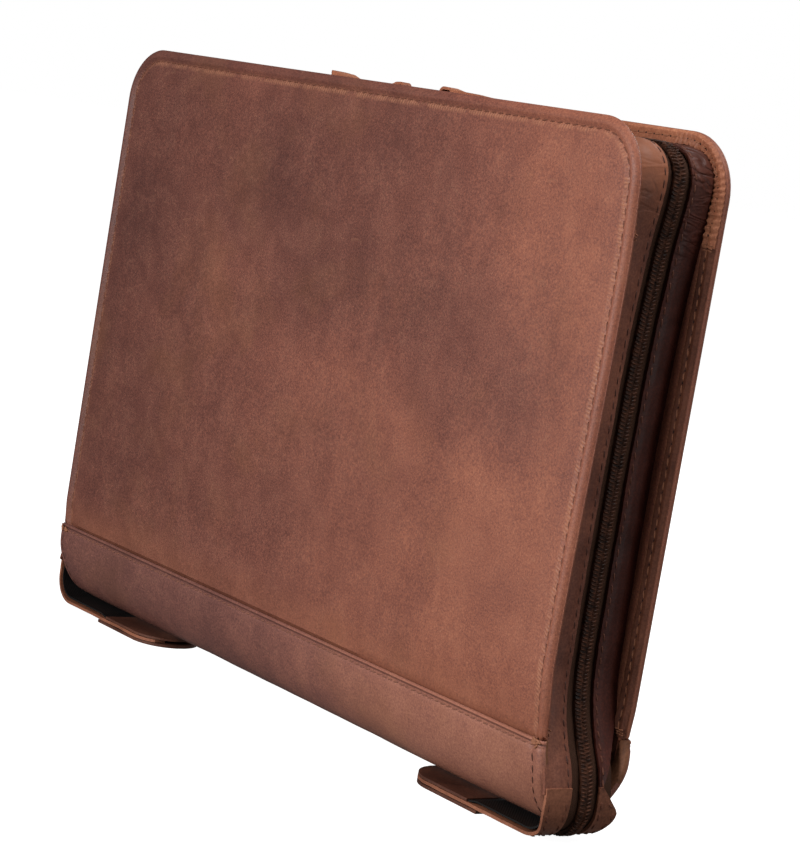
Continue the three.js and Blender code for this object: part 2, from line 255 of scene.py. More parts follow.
def roundInset(x, z):
    # how far a point lies inside a cover's outline
    radius = case["corner"]
    besideX = abs(x) - (halfWidth - radius)
    besideZ = z - (coverTop - radius)
    outX = besideX.most(0.0)
    outZ = besideZ.most(0.0)
    corner = (outX * outX + outZ * outZ) ** 0.5
    return radius - corner - besideX.most(besideZ).least(0.0)


def leatherHeight(finish, place, grain):
    creases = abs(finish.cloud(place, 70, 4, 0.6, 1.2) - 0.5) * grain["crease"]
    pores = finish.cells(place, 900) * grain["pore"]
    fine = finish.cloud(place, 2300, 2) * grain["fine"]
    lumps = finish.cloud(place, 260, 2) * grain["lump"]
    return creases + pores + fine + lumps


# Large tone patches on the front cover, by their middle and half size
coverTones = [
    {"x": -0.120, "z": 0.215, "wide": 0.080, "high": 0.050, "tone": -0.55},
    {"x": 0.015, "z": 0.205, "wide": 0.080, "high": 0.050, "tone": -1.05},
    {"x": 0.100, "z": 0.155, "wide": 0.050, "high": 0.034, "tone": -0.95},
    {"x": -0.135, "z": 0.135, "wide": 0.045, "high": 0.070, "tone": -0.55},
    {"x": -0.030, "z": 0.100, "wide": 0.090, "high": 0.035, "tone": -0.20},
    {"x": 0.140, "z": 0.210, "wide": 0.040, "high": 0.050, "tone": 0.15},
    {"x": 0.130, "z": 0.085, "wide": 0.050, "high": 0.050, "tone": 0.45},
    {"x": -0.120, "z": 0.060, "wide": 0.060, "high": 0.030, "tone": -0.25},
]
bandTones = [
    {"x": -0.150, "z": 0.022, "wide": 0.050, "high": 0.040, "tone": -0.20},
    {"x": -0.040, "z": 0.020, "wide": 0.050, "high": 0.020, "tone": -0.15},
    {"x": 0.120, "z": 0.025, "wide": 0.060, "high": 0.024, "tone": 0.75},
]
seamStart = 0.002


def softLeather(name, tones, shades, stitched=False):
    finish = Finish(name)
    place = finish.place()
    x, y, z = finish.parts(place)
    u, v, w = finish.parts(finish.uv())
    drift = finish.cloud(place, 14, 3, 0.6)
    # painted light: the leather is made lighter towards +X, where more light falls
    tone = 0.5 + x.between(-0.17, 0.17, -0.13, 0.14)
    for patch in tones:
        acrossX = (x - patch["x"] + (drift - 0.5) * 0.07) / patch["wide"]
        acrossZ = (z - patch["z"] + (drift - 0.5) * 0.06) / patch["high"]
        tone = tone + (acrossX * acrossX + acrossZ * acrossZ).between(1.8, 0.0, 0.0, patch["tone"] * 0.17)
    patches = finish.cloud(place, 17, 4, 0.62, 0.5)
    streaks = finish.cloud(finish.scaled(place, 60, 60, 16), 1, 3, 0.6, 0.4)
    blotches = finish.cloud(place, 75, 4, 0.65, 0.4)
    speckle = finish.cloud(place, 1250, 4, 0.8)
    crackle = finish.cells(place, 800, "DISTANCE_TO_EDGE").between(0.12, 0.0)
    tone = tone + (patches - 0.5) * 0.30 + (streaks - 0.5) * 0.20 + (blotches - 0.5) * 0.24
    tone = tone + (speckle - 0.5) * 1.35 - crackle * (1 - blotches) * 0.12
    colour = finish.ramp(tone, list(zip((0.08, 0.34, 0.54, 0.76, 1.0), shades)))
    height = leatherHeight(finish, place, {"crease": 0.10, "pore": 0.035, "fine": 0.035, "lump": 0.045})
    height = height - crackle * 0.02

    # what lies over the colour, in turn, real marks and painted light and shade alike: how much of it, and
    # its own colour
    olive = finish.cloud(place, 20, 3, 0.6, 0.3).between(0.50, 0.72)
    scratches = finish.cloud(finish.scaled(place, 90, 90, 260), 1, 3, 0.6, 1.5).between(0.66, 0.72)
    wisps = abs(finish.cloud(place, 240, 3, 0.6, 2.2) - 0.5).between(0.022, 0.0)
    wisps = wisps * blotches.between(0.42, 0.62)
    marksAndPaintedLight = [(olive * 0.22, (126, 82, 54)), (scratches * 0.14, (170, 120, 92)),
              (wisps * 0.26, (172, 124, 98))]
    if stitched:
        inset = roundInset(x, z)
        # rubbed wear and a painted highlight: the rolled edge is paler on the right side only, where the
        # light falls
        edgeWearAndSheen = inset.between(0.0045, 0.0010) * x.between(0.06, 0.16)
        # painted shade: the rolled edge is darkened on its left side, away from the light
        leftEdgePaintedShade = inset.between(0.0040, 0.0005) * x.between(0.10, 0.0)
        burnish = z.between(seam + 0.018, seam + 0.0015) * (patches + 0.1)
        needle = ((u - seamStart) * (2 * math.pi / case["pitch"])).math("COSINE") * 0.5 + 0.5
        beside = abs(v - case["stitchInset"]).between(0.0014, 0.0002)
        # painted shade: the leather in the slot under each stitch is darkened, and the slot is also sunk in
        # the bump
        slotAndShade = beside * (1 - needle)
        # the leather is drawn up in ticks along the seam, and painted lighter on them as a highlight, less so
        # on the left
        ticks = (u * (6 * math.pi / case["pitch"]) + blotches * 9).sine() * 0.5 + 0.5
        puckersAndHighlight = abs(v - case["stitchInset"] - 0.0009).between(0.0019, 0.0001) * (ticks * 0.75 + needle * 0.25)
        puckersAndHighlight = puckersAndHighlight * finish.cloud(place, 190, 3, 0.7).between(0.30, 0.62)
        marksAndPaintedLight += [(edgeWearAndSheen * 0.12, (160, 98, 70)), (leftEdgePaintedShade * 0.35, (86, 52, 46)),
                   (burnish * 0.38, (152, 94, 66)),
                   (puckersAndHighlight * x.between(-0.16, 0.06, 0.50, 0.62), (184, 126, 94)),
                   (slotAndShade * 0.88, (52, 26, 20))]
        height = height + beside * needle * 0.30 - slotAndShade * 0.25 + puckersAndHighlight * 0.14
    else:
        near = v.least(bandLength - v)
        # painted shadow: a dark line along the step of the fold
        foldLine = abs(near - band["foldLine"]).between(0.0005, 0.0001)
        # painted highlight: the fold's crest is made paler, more so towards +X
        crestHighlight = abs(near - 0.0007).between(0.0007, 0.0)
        marksAndPaintedLight += [(foldLine * 0.6, (58, 32, 28)),
                   (crestHighlight * x.between(-0.05, 0.16, 0.1, 0.45), (178, 112, 88))]
    for share, shade in marksAndPaintedLight:
        colour = finish.mix(share, colour, shade)
    roughness = blotches.between(0.3, 0.7, 0.46, 0.60) + (speckle - 0.5) * 0.10
    return finish.put(colour, roughness, height, 0.30)


def trimLeather(name, dark, middle, light, crown=None, wrinkleDepthAndShade=0.0):
    finish = Finish(name)
    place = finish.place()
    x, y, z = finish.parts(place)
    patches = finish.cloud(place, 45, 4, 0.6, 0.4)
    speckle = finish.cloud(place, 1100, 2, 0.6)
    tone = 0.5 + (patches - 0.5) * 0.9 + (speckle - 0.5) * 0.6
    colour = finish.ramp(tone, [(0.2, dark), (0.5, middle), (0.85, light)])
    height = leatherHeight(finish, place, {"crease": 0.16, "pore": 0.030, "fine": 0.03, "lump": 0.06})
    if crown:
        # a painted highlight, paler along the top where the light falls, and wrinkled there where it is worn,
        # with painted shade in the wrinkles
        colour = finish.mix(z.between(0.212, 0.243) * (patches + 0.3), colour, crown)
        pulled = finish.scaled(place, 60, 60, 150)
        wrinkles = abs(finish.cloud(pulled, 1, 2, 0.5, 0.8) - 0.5).between(0.14, 0.0)
        wrinkles = wrinkles * z.between(0.195, 0.235)
        colour = finish.mix(wrinkles * wrinkleDepthAndShade * 0.4, colour, dark)
        height = height - wrinkles * wrinkleDepthAndShade * 0.5
    return finish.put(colour, patches.between(0.3, 0.7, 0.46, 0.62), height, 0.28)


def wovenTape(name, dark, light, pick=0.0007):
    finish = Finish(name)
    u, v, w = finish.parts(finish.uv())
    warp = (v * (2 * math.pi / pick)).sine()
    weft = (u * (2 * math.pi / pick)).sine()
    weave = warp * weft * 0.5 + 0.5
    fuzz = finish.cloud(finish.place(), 1600, 2, 0.6)
    colour = finish.mix(weave * 0.5 + fuzz * 0.5, dark, light)
    return finish.put(colour, 0.85, weave * 0.10 + fuzz * 0.05, 0.2)


def liningCloth():
    finish = Finish("black lining cloth")
    place = finish.place()
    x, y, z = finish.parts(place)
    ribs = ((x + y) * 5200.0).sine() * 0.5 + 0.5
    dust = finish.cloud(place, 240, 3, 0.7)
    colour = finish.mix(dust.between(0.5, 0.85) * 0.5 + ribs * 0.15, (9, 7, 7), (30, 25, 23))
    return finish.put(colour, 0.62, ribs * 0.05 + dust * 0.12, 0.25)


def coilNylon():
    finish = Finish("dark nylon coil")
    shade = finish.cloud(finish.place(), 420, 2, 0.6)
    colour = finish.ramp(shade, [(0.3, (32, 17, 11)), (0.7, (92, 55, 38))])
    return finish.put(colour, shade.between(0.3, 0.7, 0.42, 0.6), shine=0.18)


def thread(name, dark, light):
    finish = Finish(name)
    twist = finish.cloud(finish.place(), 2600, 2, 0.6)
    return finish.put(finish.mix(twist, dark, light), 0.7, twist * 0.1)


# painted shade: the needle holes are dark lumps that stand for the shade inside them
def holeShade():
    finish = Finish("needle hole shade")
    shade = finish.cloud(finish.place(), 900, 1)
    return finish.put(finish.mix(shade, (30, 14, 10), (58, 28, 19)), 0.9)


def antiqueMetal():
    finish = Finish("antique zip metal")
    tarnish = finish.cloud(finish.place(), 380, 4, 0.65)
    colour = finish.mix(tarnish.between(0.35, 0.65), (120, 98, 70), (58, 46, 36))
    return finish.put(colour, tarnish.between(0.3, 0.7, 0.28, 0.5), tarnish * 0.05, Metallic=1.0)


coverShades = [(78, 44, 38), (103, 60, 50), (126, 75, 61), (150, 91, 70), (174, 112, 86)]
bandShades = [(80, 50, 46), (106, 67, 60), (130, 83, 72), (154, 100, 82), (176, 120, 96)]

finishes = {
    "cover": softLeather("waxed brown leather", coverTones, coverShades, True),
    "band": softLeather("waxed spine leather", bandTones, bandShades),
    "hem": trimLeather("turned edge leather", (110, 61, 45), (158, 98, 71), (202, 138, 104)),
    "lowHemAndShade": trimLeather("dark turned leather with painted shade", (62, 34, 25), (96, 56, 41), (128, 78, 56)),
    "bandHem": trimLeather("turned spine leather", (78, 46, 31), (116, 73, 50), (152, 100, 70)),
    # the gusset leathers' fourth colour is a painted highlight along the top, and their last number sets the
    # wrinkles' depth and painted shade
    "gusset": trimLeather("front gusset leather", (74, 40, 31), (112, 66, 51), (148, 92, 70),
                          (168, 104, 74), 0.25),
    "darkGusset": trimLeather("wine brown gusset leather", (44, 16, 10), (68, 28, 19), (102, 48, 34),
                              (88, 44, 31), 1.0),
    "tab": trimLeather("zip end leather", (92, 54, 40), (134, 83, 61), (168, 108, 80)),
    "patch": trimLeather("zip end patch leather", (52, 29, 21), (82, 48, 36), (116, 72, 53)),
    "tape": wovenTape("zip tape", (38, 23, 16), (86, 55, 39)),
    "lining": liningCloth(),
    "coil": coilNylon(),
    "seamThread": thread("red brown thread", (66, 32, 22), (128, 72, 48)),
    "bandThread": thread("band seam thread", (88, 50, 38), (152, 98, 76)),
    "copperThread": thread("copper brown thread", (104, 60, 40), (178, 116, 82)),
    "darkThread": thread("dark brown thread", (46, 20, 14), (92, 48, 32)),
    "hole": holeShade(),
    "metal": antiqueMetal(),
}
print("case: finishes made")


# Mesh helpers

def finishMesh(name, bm, look, nodes=(), sharp=40):
    mesh = bpy.data.meshes.new(name)
    bm.to_mesh(mesh)
    bm.free()
    mesh.materials.append(finishes[look])
    mesh.polygons.foreach_set("use_smooth", [True] * len(mesh.polygons))
    mesh.set_sharp_from_angle(angle=math.radians(sharp))
    piece = bpy.data.objects.new(name, mesh)
    scene.collection.objects.link(piece)
    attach(piece, "root")
    if nodes:
        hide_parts(*nodes)
    return piece


def bentGrid(shape, columns, rows, wall=0.0, closed=False, weave=None):
    # a flat grid whose points are moved to shape(along, across), and given a wall on its inner side
    bm = bmesh.new()
    bmesh.ops.create_grid(bm, x_segments=columns, y_segments=rows, size=0.5)
    layer = bm.loops.layers.uv.new("weave")
    for face in bm.faces:
        for loop in face.loops:
            along, across = loop.vert.co.x + 0.5, loop.vert.co.y + 0.5
            loop[layer].uv = weave(along, across) if weave else (along, across)
    for vert in bm.verts:
        vert.co = shape(vert.co.x + 0.5, vert.co.y + 0.5)
    if closed:
        bmesh.ops.remove_doubles(bm, verts=bm.verts, dist=1e-6)
    bm.normal_update()
    if wall:
        bmesh.ops.solidify(bm, geom=bm.faces[:], thickness=wall)
        bmesh.ops.recalc_face_normals(bm, faces=bm.faces[:])
    return bm


# Routes that strips are laid along

class Route:
    def __init__(self, points):
        self.points = [Vector(point) for point in points]
        self.lengths = [0.0]
        for before, after in zip(self.points, self.points[1:]):
            self.lengths.append(self.lengths[-1] + (after - before).length)
        self.total = self.lengths[-1]

    def at(self, length):
        # the place and the inward normal, in X and Z
        length = min(max(length, 0.0), self.total)
        low, high = 0, len(self.lengths) - 1
        while high - low > 1:
            middle = (low + high) // 2
            if self.lengths[middle] <= length:
                low = middle
            else:
                high = middle
        share = (length - self.lengths[low]) / (self.lengths[high] - self.lengths[low])
        place = self.points[low].lerp(self.points[high], share)
        normal = self.normal(low).lerp(self.normal(high), share).normalized()
        return place, normal

    def normal(self, index):
        before = self.points[max(index - 1, 0)]
        after = self.points[min(index + 1, len(self.points) - 1)]
        along = (after - before).normalized()
        return Vector((-along.y, along.x))

    def lengthAtHeight(self, height):
        for place, length in zip(self.points, self.lengths):
            if place.y > height:
                return length
        return self.total


def arc(middleX, middleZ, radius, start, end, steps=14):
    turns = [math.radians(start + (end - start) * i / steps) for i in range(steps + 1)]
    return [(middleX + radius * math.cos(turn), middleZ + radius * math.sin(turn)) for turn in turns]


# The gusset's side, as shares of the seam's height, the cover's height, the bulge and the inset
sideRows = [(0.7, 0, 0.58, 0), (1, 0, 0, 0.25), (1, 0.05, 0, 0.7), (1, 0.12, 0, 0.95),
            (1, 0.35, 0, 1.05), (1, 0.62, 0, 1.03), (1, 0.8, 0, 0.78)]


def smoothClimb(points, steps=8):
    # through the points, leaving the first and reaching the last straight up
    points = [Vector(point) for point in points]
    last = len(points) - 1
    tangents = [Vector((0, 1)) if i in (0, last) else (points[i + 1] - points[i - 1]).normalized()
                for i in range(last + 1)]
    line = []
    for i in range(last):
        reach = (points[i + 1] - points[i]).length
        for step in range(1, steps + 1):
            t = step / steps
            line.append(
                points[i] * (2 * t**3 - 3 * t**2 + 1) + tangents[i] * (t**3 - 2 * t**2 + t) * reach
                + points[i + 1] * (3 * t**2 - 2 * t**3) + tangents[i + 1] * (t**3 - t**2) * reach)
    return line


def mirrored(right):
    return right + [(-x, z) for x, z in reversed(right)]


def gussetLine():
    bulge = tabSide - halfWidth
    side = halfWidth - case["cornerInset"]
    curl = arc(tabSide - case["curl"], stripFloor + case["curl"], case["curl"], -90, 0)
    corner = arc(side - case["gussetCorner"], gussetTop - case["gussetCorner"], case["gussetCorner"], 0, 90)
    rows = [(halfWidth + out * bulge - inset * case["sideInset"], low * seam + high * coverHeight)
            for low, high, out, inset in sideRows]
    climb = [tuple(point) for point in smoothClimb([curl[-1], *rows, corner[0]])]
    return Route(mirrored([(tabTip, stripFloor), *curl, *climb, *corner[1:]]))


def edgeLine():
    corner = arc(halfWidth - case["corner"], coverTop - case["corner"], case["corner"], 0, 90, 24)
    return Route(mirrored([(halfWidth, seam + 0.0005), *corner]))


gusset = gussetLine()
edge = edgeLine()
jointLength = gusset.lengthAtHeight(tabJoint)


def onGusset(length, depth, y):
    place, normal = gusset.at(length)
    place = place + normal * depth
    return Vector((place.x, y, place.y))


def gussetOut(length):
    normal = gusset.at(length)[1]
    return Vector((-normal.x, 0, -normal.y))


# Stitches: one joined mesh of threads for each seam, and one of needle holes for the seams that ask for them

# sizes are length, width and height, and a line's direction is measured over a step to both sides
stitch = {"size": (0.0031, 0.00072, 0.00058), "hole": (0.000792, 0.000612, 0.000396), "slant": 8.0,
          "step": 0.0008, "lift": 0.00008}
beadGroup = 20


def beads(name, places, size, look):
    # small round lumps, each at a place with its length, its height and its scale, made in groups for speed
    whole = bmesh.new()
    group = bpy.data.meshes.new(name + "_group")
    for start in range(0, len(places), beadGroup):
        part = bmesh.new()
        for place, along, up, scale in places[start:start + beadGroup]:
            side = up.cross(along).normalized()
            up = along.cross(side).normalized()
            turn = Matrix((along, side, up)).transposed().to_4x4()
            shape = Matrix.Diagonal((size[0] * scale, size[1] * scale, size[2] * scale, 1))
            matrix = Matrix.Translation(place) @ turn @ shape
            bmesh.ops.create_uvsphere(part, u_segments=8, v_segments=5, radius=0.5, matrix=matrix)
        part.to_mesh(group)
        part.free()
        whole.from_mesh(group)
    bpy.data.meshes.remove(group)
    return finishMesh(name, whole, look, sharp=180)


def seamStitches(name, line, length, look, pitch=None, start=seamStart, holes=False):
    # line(length) gives a place on the surface and the way out of it
    pitch = pitch or case["pitch"]
    threads = []
    needle = []
    for i in range(int((length - 2 * start) / pitch)):
        middle = start + (i + 0.5) * pitch
        place, up = line(middle)
        along = (line(middle + stitch["step"])[0] - line(middle - stitch["step"])[0]).normalized()
        slant = math.radians(stitch["slant"] + rng.uniform(-4, 4))
        along = (Matrix.Rotation(slant, 3, up) @ along).normalized()
        threads.append((place + up * stitch["lift"], along, up, rng.uniform(0.92, 1.06)))
        hole, up = line(start + i * pitch)
        needle.append((hole, along, up, rng.uniform(0.9, 1.25)))
    beads(name + "_stitches", threads, stitch["size"], look)
    if holes:
        beads(name + "_holes", needle, stitch["hole"], "hole")


# Covers

def insetAt(x, z):
    radius = case["corner"]
    besideX = abs(x) - (halfWidth - radius)
    besideZ = z - (coverTop - radius)
    corner = math.hypot(max(besideX, 0), max(besideZ, 0))
    return radius - corner - min(max(besideX, besideZ), 0)


# the dip lies inside the seam, and the pinch is where the cover goes under the band
cover = {
    "swell": 0.0004, "bead": 0.00045, "beadMiddle": 0.0026, "beadWidth": 0.0014, "groove": 0.00065,
    "grooveWidth": 0.0009, "sink": 0.0021, "tuck": 0.003, "crownReach": 0.085, "wave": 0.00035, "foot": 0.009,
    "dip": 0.0004, "pinch": 0.0008, "pinchHeight": 0.012, "frontWall": 0.0027, "bow": 0.0024,
    "topBow": 0.0017,
}
coverColumns = 620
faceInside = {-1: halfDepth - cover["frontWall"], 1: innerFace}


def flare(side, x, z):
    # the zip pushes the front cover's right side forward, most of all at the top
    if side > 0:
        return 0.0
    body = cover["bow"] * smooth(seam, 0.066, z) * (1 - 0.6 * smooth(0.08, 0.18, z))
    body *= smooth(0.0, halfWidth, x)
    return body + cover["topBow"] * smooth(0.200, 0.238, z) * smooth(0.05, halfWidth, x)


def coverRelief(x, z, seed):
    # how far the outer face stands out past the plane of the rolled edge's crest
    inset = insetAt(x, z) + cover["swell"]
    height = cover["bead"] * bell(inset, cover["beadMiddle"], cover["beadWidth"])
    height -= roundFall(case["roll"], inset)
    height -= cover["groove"] * bell(inset, case["stitchInset"], cover["grooveWidth"])
    height -= cover["dip"] * smooth(0.0030, 0.0050, inset) * (1 - smooth(0.0050, 0.016, inset))
    inside = smooth(case["stitchInset"], cover["crownReach"], inset) * smooth(seam, seam + 0.07, z)
    height += case["crown"] * inside
    calm = smooth(0.004, 0.03, inset)
    height += cover["wave"] * (wave(x, z, 0.075, seed) + 0.45 * wave(x, z, 0.031, seed + 5)) * calm
    return height - cover["pinch"] * (1 - smooth(seam, seam + cover["pinchHeight"], z))


def coverOutline(share, inset):
    # round the cover's outline, from the middle of its foot
    foot = seam - cover["foot"] + inset
    radius = max(case["corner"] - inset, 0.0008)
    side = max(halfWidth - inset, 0.001)
    top = coverTop - inset
    upright = coverHeight + cover["foot"] - case["corner"]
    quarter = math.pi / 2 * case["corner"]
    runs = [halfWidth, upright, quarter, 2 * (halfWidth - case["corner"]), quarter, upright, halfWidth]
    at = share * sum(runs)
    run = 0
    while run < len(runs) - 1 and at > runs[run]:
        at -= runs[run]
        run += 1
    part = min(at / runs[run], 1.0)
    turn = math.pi / 2 * (part + (run == 4))
    bendX, bendZ = radius * math.cos(turn), top - radius + radius * math.sin(turn)
    return [
        (part * side, foot),
        (side, foot + part * (top - radius - foot)),
        (side - radius + bendX, bendZ),
        (side - radius - part * (2 * (side - radius)), top),
        (radius - side + bendX, bendZ),
        (-side, top - radius - part * (top - radius - foot)),
        (-side + part * side, foot),
    ][run]


def coverLevels(side):
    # from inside the inner face, round the rolled edge, to the middle of the outer face
    wall = halfDepth - faceInside[side]
    turned = wall * 0.45
    inner = [(inset, -wall) for inset in (0.020, 0.008, 0.0022)]
    turn = [math.radians(angle) for angle in (20, 45, 70, 90)]
    back = [(turned * (1 - math.sin(a)), -wall + turned * (1 - math.cos(a))) for a in turn]
    face = [0.0001, 0.0004, 0.0008, 0.0013, 0.0019, 0.0025, 0.0031, 0.0036, 0.0041, 0.0045, 0.0049, 0.0053,
            0.0057, 0.0063, 0.0072, 0.0086, 0.0105, 0.0135, 0.0175]
    face += [0.022 + 0.0052 * i for i in range(17)]
    return inner + back + [(inset, None) for inset in face]


def coverPiece(name, side, seed):
    levels = coverLevels(side)
    rows = len(levels) - 1
    height = coverHeight + cover["foot"]
    seamInset = case["stitchInset"] - cover["swell"]
    seamPoints = [coverOutline(i / coverColumns, seamInset) for i in range(coverColumns + 1)]
    first = next(i for i, point in enumerate(seamPoints) if point[1] > seam + 0.001)
    line = Route(seamPoints[first:coverColumns + 1 - first])

    def alongSeam(share, across):
        index = min(max(round(share * coverColumns) - first, 0), len(line.lengths) - 1)
        return line.lengths[index], max(levels[round(across * rows)][0], 0.0)

    def shape(share, across):
        inset, depth = levels[round(across * rows)]
        x, z = coverOutline(share, min(inset, height / 2 - 0.0004) - cover["swell"])
        out = coverRelief(x, z, seed) if depth is None else depth
        under = 1 - smooth(seam - 0.0012, seam + 0.0006, z)
        if depth is None:
            out -= cover["sink"] * under
        out += flare(side, x, z)
        x *= 1 - under * cover["tuck"] / halfWidth
        return Vector((x, side * (halfDepth + out), z))

    bm = bentGrid(shape, coverColumns, rows, closed=True, weave=alongSeam)
    rim = [edge for edge in bm.edges if edge.is_boundary]
    bmesh.ops.edgeloop_fill(bm, edges=rim)
    bmesh.ops.triangulate(bm, faces=[face for face in bm.faces if len(face.verts) > 4])
    bmesh.ops.recalc_face_normals(bm, faces=bm.faces[:])
    finishMesh(name + "_leather", bm, "cover", [name])

    def onFace(length):
        place, normal = line.at(length)
        out = coverRelief(place.x, place.y, seed) + flare(side, place.x, place.y)
        return Vector((place.x, side * (halfDepth + out), place.y)), Vector((0, side, 0))

    seamStitches(name, onFace, line.total, "seamThread")


coverPiece("front_cover", -1, 1.7)
coverPiece("back_cover", 1, 8.2)
print("case: covers made")


# Hems: the covers' turned leather on the inner faces, pleated round the corners

hem = {
    "wide": 0.0048, "wall": 0.0009, "setback": -0.0002, "frontSetback": 0.0010, "stitchInset": 0.0026,
    "pleatPitch": 0.0024, "pleat": 0.00042, "groove": 0.0003, "round": 0.0014, "lumps": 0.00022,
    "lap": 0.0005, "lapLow": 0.039, "lapHigh": 0.211, "threadSize": (0.0028, 0.0006, 0.0006),
}
cornerEnd = coverTop - case["corner"] - seam + case["corner"] * math.pi / 2
lapLengths = [hem["lapHigh"] - seam, hem["lapLow"] - seam]


def hemMarks():
    # close together where the pleats and laps are
    marks = [0.0]
    while marks[-1] < edge.total - 0.0036:
        near = min(marks[-1], edge.total - marks[-1])
        close = near < 0.006 or lapLengths[0] - 0.003 < near < cornerEnd + 0.012
        marks.append(marks[-1] + (0.0005 if close else 0.0035))
    return marks + [edge.total]


def hemPiece(name, side, seed):
    marks = hemMarks()
    setback = hem["setback"] if side > 0 else hem["frontSetback"]
    inward = Vector((0, -side, 0))

    def lift(length, across):
        near = min(length, edge.total - length)
        lap = sum(smooth(at, at + 0.0006, near) * (1 - smooth(at + 0.002, at + 0.012, near))
                  for at in lapLengths)
        gathered = smooth(lapLengths[0], lapLengths[0] + 0.004, near)
        gathered *= 1 - smooth(cornerEnd, cornerEnd + 0.01, near)
        fold = math.sin(near / hem["pleatPitch"] * 2 * math.pi + 3 * wave(near, seed, 0.007, seed))
        ripple = hem["pleat"] * fold * gathered * (0.5 + 0.5 * across)
        groove = hem["groove"] * bell(across * hem["wide"], hem["stitchInset"], 0.0008)
        return ripple - groove + hem["lap"] * lap + hem["lumps"] * wave(length, across * 0.01, 0.006, seed)

    def onFace(place, length, across, out=0.0):
        y = faceInside[side] - hem["wall"] - lift(length, across) + out + flare(side, place.x, place.y)
        return Vector((place.x, side * y, place.y))

    def shape(along, across):
        length = marks[round(along * (len(marks) - 1))]
        place, normal = edge.at(length)
        ragged = 0.00035 * wave(length, seed, 0.0016, seed) + 0.0004 * wave(length, seed, 0.011, seed)
        place = place + normal * (setback + across * (hem["wide"] + ragged - setback))
        return onFace(place, length, across, hem["round"] * (1 - smooth(0.0, 0.25, across)) ** 2)

    bm = bentGrid(shape, len(marks) - 1, 10, wall=hem["wall"] * side)
    piece = finishMesh(name + "_leather", bm, "hem", [name])
    # below the upper lap the hem takes a darker leather, partly its own colour and partly painted shade on
    # its lower part
    piece.data.materials.append(finishes["lowHemAndShade"])
    for face in piece.data.polygons:
        face.material_index = int(face.center.z < hem["lapHigh"])

    def onHem(length):
        place, normal = edge.at(length)
        place = place + normal * hem["stitchInset"]
        return onFace(place, length, hem["stitchInset"] / hem["wide"]), inward

    seamStitches(name, onHem, edge.total, "copperThread", holes=True)

    # thread wrapped three times over each lap
    wraps = []
    for at in lapLengths + [edge.total - at for at in lapLengths]:
        for step in (-0.0009, 0.0, 0.0010):
            place, normal = edge.at(at + step)
            y = onFace(place, at + step, 0.5, -0.0001).y
            for share in (0.25, 0.75):
                spot = place + normal * hem["wide"] * (share + 0.05 * rng.random())
                along = Vector((normal.x, 0, normal.y + rng.uniform(-0.25, 0.25)))
                wraps.append((Vector((spot.x, y, spot.y)), along.normalized(), inward, 1.0))
    beads(name + "_lap_thread", wraps, hem["threadSize"], "copperThread")


hemPiece("front_hem", -1, 3.1)
hemPiece("back_hem", 1, 4.6)
print("case: hems made")


# Spine band

def bandRelief(length, fromEnd, x):
    near = min(length, bandLength - length)
    endStitch = band["rightStitch"] if x > 0 else band["leftStitch"]
    height = -band["fold"] * (1 - min(near / band["fold"], 1)) ** 2 * 0.8
    height -= 0.00050 * bell(near, band["foldLine"], 0.0004) + 0.00040 * bell(near, band["stitch"], 0.0006)
    height -= 0.00040 * bell(fromEnd, endStitch, 0.0009) - 0.00035 * bell(fromEnd, 0.0026, 0.0014) * (x > 0)
    height -= roundFall(band["endRoll"], fromEnd)
    calm = smooth(0.004, 0.012, near) * smooth(0.008, 0.02, fromEnd)
    return height + (0.00032 * wave(x, length, 0.05, 2.2) + 0.00012 * wave(x, length, 0.017, 6.0)) * calm


def bandPoint(x, length, depth):
    place, out = bandProfile(bandTurn(length))
    place = place + out * depth
    return Vector((x, place.x, place.y)), Vector((0, out.x, out.y))


def bandEndX(length):
    # the lower corners are round, inside the curl of the zip ends
    height = bandProfile(bandTurn(length))[0].y
    behind = smooth(0.6, 0.8, length / bandLength)
    drop = stripFloor + case["curl"] - band["backDrop"] * behind - height
    side = halfWidth + cover["swell"] + band["bulge"] * bell(height, seam - 0.011, 0.008)
    side += band["backBulge"] * behind * bell(height, seam - 0.014, 0.012)
    if drop <= 0:
        return side
    return min(side, tabSide - case["curl"] + leg(case["curl"] - 0.0033, drop))


